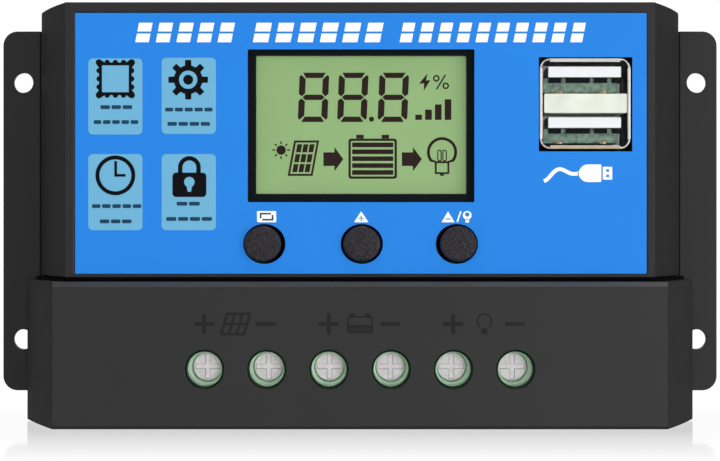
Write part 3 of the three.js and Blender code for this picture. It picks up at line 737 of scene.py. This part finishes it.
def digit(left):
    """The seven segments of an 8, each mitred to its neighbours."""
    w, h, u, f, g, cut = (DIGIT[k] for k in ("width", "height", "upright", "flat", "gap", "cut"))
    half = h / 2
    flat = [(cut * 2, 0), (w - cut * 2, 0), (w - u - g * 0.6, f), (u + g * 0.6, f)]
    side = [
        (0, half + cut * 2), (u * 0.5, half + g * 1.3), (u, half + f / 2 + g * 2), (u, h - f - g * 1.5),
        (cut, h - cut - g * 0.7), (0, h - cut * 2.3),
    ]  # fmt: skip
    middle = [
        (u * 0.5 + g * 0.8, half), (u + g * 0.5, half - f / 2), (w - u - g * 0.5, half - f / 2),
        (w - u * 0.5 - g * 0.8, half), (w - u - g * 0.5, half + f / 2), (u + g * 0.5, half + f / 2),
    ]  # fmt: skip
    segments = [flat, [(x, h - y) for x, y in flat], middle]
    for mirror_x in (False, True):
        for mirror_y in (False, True):
            segments.append([(w - x if mirror_x else x, h - y if mirror_y else y) for x, y in side])
    placed = [[(left + x, DIGIT_BASE + y) for x, y in part] for part in segments]
    return [[slanted(part, DIGIT["slant"], DIGIT_BASE)] for part in placed]


def panel_mark(x, y):
    """A tilted solar panel: its frame, and a grid of cells."""
    lean, half_w, half_h, line = 0.185, 2.06, 2.93, 0.34
    frame_outer = rectangle(x - half_w, x + half_w, y - half_h, y + half_h)
    frame_inner = rectangle(x - half_w + line, x + half_w - line, y - half_h + line, y + half_h - line)
    shapes = [[slanted(frame_outer, lean, y), slanted(frame_inner, lean, y)]]
    for i in (-1, 0, 1):
        for j in (-1, 0, 1):
            cx, cy = x + i * 1.02, y + j * 1.64
            cell = rectangle(cx - 0.4, cx + 0.4, cy - 0.67, cy + 0.67)
            shapes.append([slanted(cell, lean, y)])
    return shapes


def arrow(x, y):
    tail, neck, tip = x - 1.65, x + 0.18, x + 1.65
    lower = [(tail, y - 1.12), (neck, y - 1.12), (neck, y - 1.98)]
    upper = [(neck, y + 1.98), (neck, y + 1.12), (tail, y + 1.12)]
    return [[*lower, (tip, y), *upper]]


def battery_mark(x, y):
    case = rectangle(x - 4, x + 4, y - 3.32, y + 3.32, 0.45)
    hollow = rectangle(x - 3.62, x + 3.62, y - 2.94, y + 2.94, 0.25)
    shapes = [ring(case, hollow)]
    for post in (-2.1, 2.1):
        shapes.append([rectangle(x + post - 0.62, x + post + 0.62, y + 3.34, y + 3.95)])
    for i in range(5):
        level = y + (i - 2) * 1.14
        shapes.append([rectangle(x - 3.4, x + 3.4, level - 0.385, level + 0.385)])
    return shapes


def bulb_mark(x, y):
    """A lamp: most of a circle over a screw base, with two loops of filament."""
    glass = arc(x, y, 2.5, -38, 218, 40)
    inside = arc(x, y, 2.02, 216, -36, 40)
    neck = [(x - 1.1, y - 1.74), (x - 0.85, y - 1.54)]
    shapes = [[[(x + 1.1, y - 1.74), *glass, *neck, *inside, (x + 0.85, y - 1.54)]]]
    base = rectangle(x - 1.2, x + 1.2, y - 3.62, y - 1.5, 0.15, 2)
    hollow = rectangle(x - 0.88, x + 0.88, y - 3.3, y - 1.82)
    shapes.append(ring(base, hollow))
    shapes.append([rectangle(x - 0.36, x + 0.36, y - 3.9, y - 3.62, 0.1, 2)])
    for side in (-0.42, 0.42):
        loop_outer = rectangle(x + side - 0.37, x + side + 0.37, y - 1.5, y + 0.4, 0.3, 5)
        loop_inner = rectangle(x + side - 0.19, x + side + 0.19, y - 1.32, y + 0.22, 0.16, 5)
        shapes.append(ring(loop_outer, loop_inner))
    return shapes


def sun_mark(x, y):
    shapes = [[circle(x, y, 0.78, 28)]]
    for i in range(8):
        a = math.radians(45 * i)
        ray = [(x + r * math.cos(a), y + r * math.sin(a)) for r in (1.0, 1.45)]
        shapes.append([stroke(ray, 0.24)])
    return shapes


def percent_mark(x, y):
    shapes = [[stroke([(x - 0.75, y - 1.2), (x + 0.75, y + 1.2)], 0.24)]]
    for side in (-1, 1):
        cx, cy = x + side * 0.78, y - side * 0.62
        shapes.append(ring(circle(cx, cy, 0.55, 24), circle(cx, cy, 0.3, 20)))
    return shapes


def bolt_mark(x, y):
    """A lightning bolt, the same shape when turned about its middle."""
    zigzag = [(-0.15, -1.45), (0.95, 0.35), (0.2, 0.25), (0.5, 1.45), (-0.95, -0.3), (-0.1, -0.2)]
    return [[(x + px, y + py) for px, py in zigzag]]


def level_mark(x, y):
    """Rising bars, as on a signal meter."""
    shapes = []
    for i in range(4):
        left = x - 3.1 + i * 1.62
        shapes.append([rectangle(left, left + 1.1, y - 1.7, y - 1.7 + 0.85 * (i + 1))])
    return shapes


segments = []
for left in (-10.3, -3.8, 2.9):
    segments += digit(left)
segments.append([circle(1.9, 50.92, 0.42, 24)])
segments += sun_mark(-13.05, 45.8)
segments += panel_mark(-9.36, 44.46)
segments += [arrow(-4.4, 44.3), arrow(8.58, 44.3)]
segments += battery_mark(2.1, 44.38)
segments += bulb_mark(13.57, 45.45)
segments += [bolt_mark(10.7, 57.05)]
segments += percent_mark(13.4, 57.05)
segments += level_mark(12.25, 52.5)
ink("screen_segments", segments, LCD_INK, LCD_FACE, 1)

# ---- Buttons ----


CAP_EDGE = 0.4
CAP_BACK = 28.4


def cap_profile(radius, back, top):
    rounded = arc(radius - CAP_EDGE, top - CAP_EDGE, CAP_EDGE, 0, 90, 6)
    return [(radius, back), *rounded, (radius * 0.5, top + 0.02), (0.02, top + 0.03)]


for name, x in BUTTONS.items():
    cap_x = x + CAP_SHIFT * (x > 5) - CAP_SHIFT * (x < -5)

    def cap(bm, cap_x=cap_x):
        turned(bm, cap_x, BUTTON_Y, cap_profile(BUTTON_CAP, CAP_BACK, CAP_TOP), 72, BUTTON_SQUASH)

    def wings(bm, cap_x=cap_x):
        flange = rectangle(cap_x - 4.3, cap_x + 4.3, BUTTON_Y - 2.8, BUTTON_Y + 2.8, 0.5, 4)
        prism(bm, flange, CAP_BACK, CAP_BACK + 1.5)
        turned(bm, cap_x, BUTTON_Y, [(1.7, 26.7), (1.7, 29)], 40)

    button = solid("key_" + name, cap)
    combine(button, wings, "UNION")
    shade(button)
    dress(button, RUBBER, "button_" + name, ["button_cap_" + name])

# ---- USB sockets ----


def usb_wall(front, back, wall):
    x, y = USB["x"], USB["y"]
    half_x, half_y = USB["width"] / 2, USB["height"] / 2
    outer = rectangle(x - half_x, x + half_x, y - half_y, y + half_y, 1.75, 8)
    half_x, half_y = half_x - wall, half_y - wall
    inner = rectangle(x - half_x, x + half_x, y - half_y, y + half_y, 1.5 - wall, 8)
    return lambda bm: slab(bm, [outer, inner], back, front)


def usb_lip(bm, side):
    """The folded edge across the can's top or bottom, which stops short of its corners."""
    x, y, half = USB["x"], USB["y"], USB["height"] / 2
    low, high = sorted((y + side * half, y + side * (half - 0.6)))
    prism(bm, rectangle(x - 5.8, x + 5.8, low, high), 31.0, USB["front"] + 0.12)


def usb_lips(bm):
    """The folded edges at the can's top and sides."""
    x, y, half_x = USB["x"], USB["y"], USB["width"] / 2
    usb_lip(bm, 1)
    for side in (-1, 1):
        left, right = sorted((x + side * half_x, x + side * (half_x - 0.45)))
        prism(bm, rectangle(left, right, y - 5.9, y + 5.9), 31.0, USB["front"] + 0.08)


def usb_divider(bm):
    x, y = USB["x"], USB["y"]
    prism(bm, rectangle(x - 6.72, x + 6.97, y - 1.55, y + 1.67, 0.25, 3), 18.3, USB["front"] - 0.4)


can = solid("usb_can", usb_wall(USB["front"] - 0.7, 9.9, 0.35))
soften(can, 0.05, 2)
dress(can, SHADOWED_STEEL, replaces=["usb_shell"])
rim = solid("usb_rim", usb_wall(USB["front"], USB["front"] - 0.7, 0.36))
combine(rim, usb_lips, "UNION")
soften(rim, 0.1, 2)
dress(rim, NICKEL)
# The lower fold takes the darker nickel: painted shade and reflection, the same metal as the rim.
lower_fold = solid("usb_lower_fold", lambda bm: usb_lip(bm, -1))
soften(lower_fold, 0.1, 2)
dress(lower_fold, SHADED_NICKEL)
divider = solid("usb_divider", usb_divider)
soften(divider, 0.15, 2)
dress(divider, BAND)

# The top of each port's room, and its tongue's distance under that and height.
PORT_TOPS = [USB["y"] + 7.0, USB["y"] - 1.35]
TONGUE_DROP, TONGUE_HEIGHT = 0.85, 1.77


def usb_tongues(bm):
    prism(bm, rectangle(USB["x"] - 6.95, USB["x"] + 6.95, USB["y"] - 7.0, USB["y"] + 7.0, 1.1, 4), 10.2, 18)
    for port_top in PORT_TOPS:
        top = port_top - TONGUE_DROP
        prism(bm, rectangle(USB["x"] - 6.0, USB["x"] + 6.0, top - TONGUE_HEIGHT, top), 17.5, USB["front"] - 1)


tongues = solid("usb_tongues", usb_tongues)
soften(tongues, 0.12, 2)
dress(tongues, TONGUE, replaces=["usb_insulator"])


def usb_linings(bm):
    for port_top in PORT_TOPS:
        low, high = port_top - 5.1, port_top - TONGUE_DROP - TONGUE_HEIGHT - 0.05
        prism(bm, rectangle(USB["x"] - 6.75, USB["x"] + 5.6, low, high, 0.2, 3), 18.2, 28.8)


linings = solid("usb_linings", usb_linings)
soften(linings, 0.1, 2)
dress(linings, TEAL)

CONTACTS = [(-4.8, 2.1), (-1.0, 4.0), (2.75, 2.2), (5.3, 1.4)]  # offset from the middle, and width


def usb_contacts(bm):
    for port_top in PORT_TOPS:
        under = port_top - TONGUE_DROP - TONGUE_HEIGHT
        for offset, width in CONTACTS:
            x = USB["x"] + offset
            prism(bm, rectangle(x - width / 2, x + width / 2, under - 0.85, under - 0.02, 0.08, 2), 24, 29.4)


contacts = solid("usb_contacts", usb_contacts)
soften(contacts, 0.06, 2)
dress(contacts, BEZEL)


def usb_springs(bm):
    for port_top in PORT_TOPS:
        for offset in (-4.2, 3.0):
            outline = arc(USB["x"] + offset, port_top - 5.28, 0.55, 0, 180, 14)
            prism(bm, outline, 28, 30.6)


springs = solid("usb_springs", usb_springs)
soften(springs, 0.08, 2)
dress(springs, COPPER)

# ---- Terminals ----


def block_body(bm):
    prism(bm, rectangle(-31, 31, 2.4, 16.6), 9.9, BLOCK_FRONT)


def block_cavities(bm):
    for x in POLES:
        well = [(2.1, 20), (2.1, 22.45), (2.52, 22.46), (2.52, 28), (WELL, 28.2), (WELL + 0.05, 33.6)]
        turned(bm, x, POLE_Y, well, 72)


def block_chambers(bm):
    for x in POLES:
        prism(bm, rectangle(x - 3.9, x + 3.9, 4.2, 14.7), 10.6, 21.6)


def block_mouths(bm):
    for x in POLES:
        prism(bm, rectangle(x - 3.3, x + 3.3, 0, 4.8), ENTRY_BACK, ENTRY_FRONT)


block = solid("terminal_body", block_body)
for cavity in (block_cavities, block_chambers, block_mouths):
    combine(block, cavity, "DIFFERENCE")
soften(block, 0.1, 2)
dress(block, GREEN, replaces=["terminal_block"])


def screw(name, x, y, radius, tip, head_radius, head_back, head_top, cross):
    """A round-headed screw from its tip to the top of its head, with a cross cut across the head."""
    up = math.copysign(1, head_top - head_back)
    shoulder = [(0, 0.32), (0.04, 0.16), (0.14, 0.05), (0.32, 0)]
    dome = [(head_radius - inset, head_top - up * drop) for inset, drop in shoulder]
    profile = [(radius, tip), (radius, head_back), (head_radius, head_back), *dome]
    made = solid(name, lambda bm: turned(bm, x, y, profile, 64))
    cut_from, cut_to = sorted((head_top - up * 0.65, head_top + up))
    combine(made, lambda bm: prism(bm, plus(x, y, *cross), cut_from, cut_to), "DIFFERENCE")
    soften(made, 0.05, 2)
    made.modifiers["edge"].material = 1
    return made


for i, x in enumerate(POLES, 1):
    clamp_screw = screw(f"clamp_screw_{i}", x, POLE_Y, 1.7, 17.5, 2.4, 22.6, 24.3, (4.15, 0.78))
    dress(clamp_screw, SCREW, f"screw_{i}", [f"terminal_screw_{i}"])
    # The head's rounded rims take the darker copy: painted shade lines on the same metal.
    clamp_screw.data.materials.append(SCREW_EDGE_SHADE)

for i, (x, y) in enumerate(CASE_SCREWS, 1):
    rear_screw = screw(f"rear_screw_{i}", x, y, 1.2, 16.5, 2.6, 2.1, 0.3, (3.1, 0.6))
    dress(rear_screw, DARK_STEEL, replaces=[f"case_screw_{i}"])
    rear_screw.data.materials.append(DARK_STEEL)

# ---- Marks moulded on the hood ----

HOOD_MARK_Y = 17.25
hood_marks = [[plus(x, HOOD_MARK_Y, 3.3, 0.64)] for x in (-25.4, -5.1, 15.2)]
hood_marks += [[minus(x, HOOD_MARK_Y, 3.2, 0.64)] for x in (-15.4, 5.0, 25.3)]
panel_x = -20.3
for edge in (-1.65, 0, 1.65):
    hood_marks.append([slanted(minus(panel_x, HOOD_MARK_Y + edge, 4.15, 0.44), 0.3, HOOD_MARK_Y)])
for upright_x in (-1.87, -0.6, 0.65, 1.87):
    for low, high in ((-1.45, -0.2), (0.2, 1.45)):
        x = panel_x + upright_x
        bar = rectangle(x - 0.21, x + 0.21, HOOD_MARK_Y + low, HOOD_MARK_Y + high)
        hood_marks.append([slanted(bar, 0.3, HOOD_MARK_Y)])
battery_case = rectangle(-2.1, 2.1, HOOD_MARK_Y - 1.45, HOOD_MARK_Y + 1.3, 0.15, 2)
battery_top = rectangle(-1.8, 1.8, HOOD_MARK_Y - 0.15, HOOD_MARK_Y + 1.0)
battery_line = rectangle(-1.8, 1.8, HOOD_MARK_Y - 0.95, HOOD_MARK_Y - 0.8)
hood_marks.append([battery_case, battery_top, battery_line])
for post in (-1.2, 1.2):
    hood_marks.append([rectangle(post - 0.42, post + 0.42, HOOD_MARK_Y + 1.32, HOOD_MARK_Y + 1.75)])
bulb_x = 20.3
outer, inner = ((1.3, -55, 235), (1.0, 233, -53))
hood_marks.append([arc(bulb_x, HOOD_MARK_Y + 0.5, *outer, 28) + arc(bulb_x, HOOD_MARK_Y + 0.5, *inner, 28)])
hood_marks.append([rectangle(bulb_x - 0.5, bulb_x + 0.5, HOOD_MARK_Y - 1.7, HOOD_MARK_Y - 0.7, 0.15, 2)])
ink("hood_marks", hood_marks, HOOD_INK, HOOD["front"], 1)

# ---- Stage, light and camera ----


def floor_finish():
    """Pale floor whose polish fades with the distance in front of the case."""
    made = bpy.data.materials.new("floor")
    made.use_nodes = True
    nodes, links = made.node_tree.nodes, made.node_tree.links
    nodes.clear()
    output = nodes.new("ShaderNodeOutputMaterial")
    glow = nodes.new("ShaderNodeEmission")
    glow.inputs["Color"].default_value = (1, 1, 1, 1)
    glow.inputs["Strength"].default_value = 1.05
    mirror = nodes.new("ShaderNodeBsdfGlossy")
    mirror.inputs["Roughness"].default_value = 0.06
    mirror.inputs["Color"].default_value = (1, 1, 1, 1)
    where = nodes.new("ShaderNodeTexCoord")
    split = nodes.new("ShaderNodeSeparateXYZ")
    fade = nodes.new("ShaderNodeMapRange")
    fade.inputs["From Min"].default_value = 0.0175
    fade.inputs["From Max"].default_value = 0.09
    fade.inputs["To Min"].default_value = 0.4
    fade.inputs["To Max"].default_value = 0.0
    reach = nodes.new("ShaderNodeMath")
    reach.operation = "ABSOLUTE"
    mix = nodes.new("ShaderNodeMixShader")
    links.new(where.outputs["Object"], split.inputs["Vector"])
    links.new(split.outputs["Y"], reach.inputs[0])
    links.new(reach.outputs["Value"], fade.inputs["Value"])
    links.new(fade.outputs["Result"], mix.inputs["Fac"])
    links.new(glow.outputs["Emission"], mix.inputs[1])
    links.new(mirror.outputs["BSDF"], mix.inputs[2])
    links.new(mix.outputs["Shader"], output.inputs["Surface"])
    return made


bpy.ops.mesh.primitive_plane_add(size=6, location=(0, 0, -0.0002))
floor = bpy.context.object
floor.name = "floor"
floor.data.materials.append(floor_finish())
floor.visible_diffuse = False
floor.visible_glossy = False
floor.visible_shadow = False

world = bpy.data.worlds.new("studio")
world.use_nodes = True
bpy.context.scene.world = world
nodes, links = world.node_tree.nodes, world.node_tree.links
nodes.clear()
sky_out = nodes.new("ShaderNodeOutputWorld")
sky = nodes.new("ShaderNodeBackground")
sky.inputs["Color"].default_value = (1, 1, 1, 1)
sky.inputs["Strength"].default_value = 1.05
room = nodes.new("ShaderNodeBackground")
room_color = nodes.new("ShaderNodeValToRGB")
direction = nodes.new("ShaderNodeTexCoord")
parts = nodes.new("ShaderNodeSeparateXYZ")
turn = nodes.new("ShaderNodeMapRange")
turn.inputs["From Min"].default_value = -1
turn.inputs["From Max"].default_value = 1
links.new(direction.outputs["Generated"], parts.inputs["Vector"])
links.new(parts.outputs["Y"], turn.inputs["Value"])
links.new(turn.outputs["Result"], room_color.inputs["Fac"])
# How bright the room is, by direction along Y.
ROOM = [(-0.8, 0.3), (-0.2, 0.2), (0.3, 0.15), (0.957, 0.12), (0.988, 0.85)]
while len(room_color.color_ramp.elements) < len(ROOM):
    room_color.color_ramp.elements.new(0.5)
for element, (along, light) in zip(room_color.color_ramp.elements, ROOM):
    element.position = (along + 1) / 2
    element.color = (light, light, light, 1)
links.new(room_color.outputs["Color"], room.inputs["Color"])
paths = nodes.new("ShaderNodeLightPath")
choose = nodes.new("ShaderNodeMixShader")
links.new(paths.outputs["Is Camera Ray"], choose.inputs["Fac"])
links.new(room.outputs["Background"], choose.inputs[1])
links.new(sky.outputs["Background"], choose.inputs[2])
links.new(choose.outputs["Shader"], sky_out.inputs["Surface"])


def softbox(name, place_m, target_m, size, power):
    data = bpy.data.lights.new(name, "AREA")
    data.shape = "RECTANGLE"
    data.size, data.size_y = size
    data.energy = power
    obj = bpy.data.objects.new(name, data)
    bpy.context.scene.collection.objects.link(obj)
    obj.location = place_m
    obj.rotation_euler = (Vector(target_m) - Vector(place_m)).to_track_quat("-Z", "Y").to_euler()
    return obj


CENTRE = (0, 0, 0.035)
front_light = softbox("front", (0.06, -0.98, 0.04), CENTRE, (0.2, 0.2), 4.6)
front_light.visible_glossy = False
softbox("key", (0.62, -0.85, 0.08), CENTRE, (0.5, 0.5), 2.9)
softbox("fill", (-0.6, -0.85, 0.3), CENTRE, (0.6, 0.6), 1.1)
softbox("over", (0.1, -0.12, 1.0), CENTRE, (0.7, 0.3), 2.7)
softbox("low", (0.35, -0.6, -0.45), CENTRE, (0.2, 0.2), 0.5)
softbox("rear", (-0.1, 0.75, 0.85), CENTRE, (0.6, 0.4), 5)

camera_data = bpy.data.cameras.new("camera")
camera_data.lens = 142.5
camera_data.sensor_width = 36
camera_data.clip_start = 0.01
camera = bpy.data.objects.new("camera", camera_data)
bpy.context.scene.collection.objects.link(camera)
camera.location = place(0, CAMERA_HEIGHT, CAMERA_DISTANCE)
camera.rotation_euler = (math.radians(90), 0, 0)
bpy.context.scene.camera = camera
bpy.context.scene.view_settings.view_transform = "Standard"
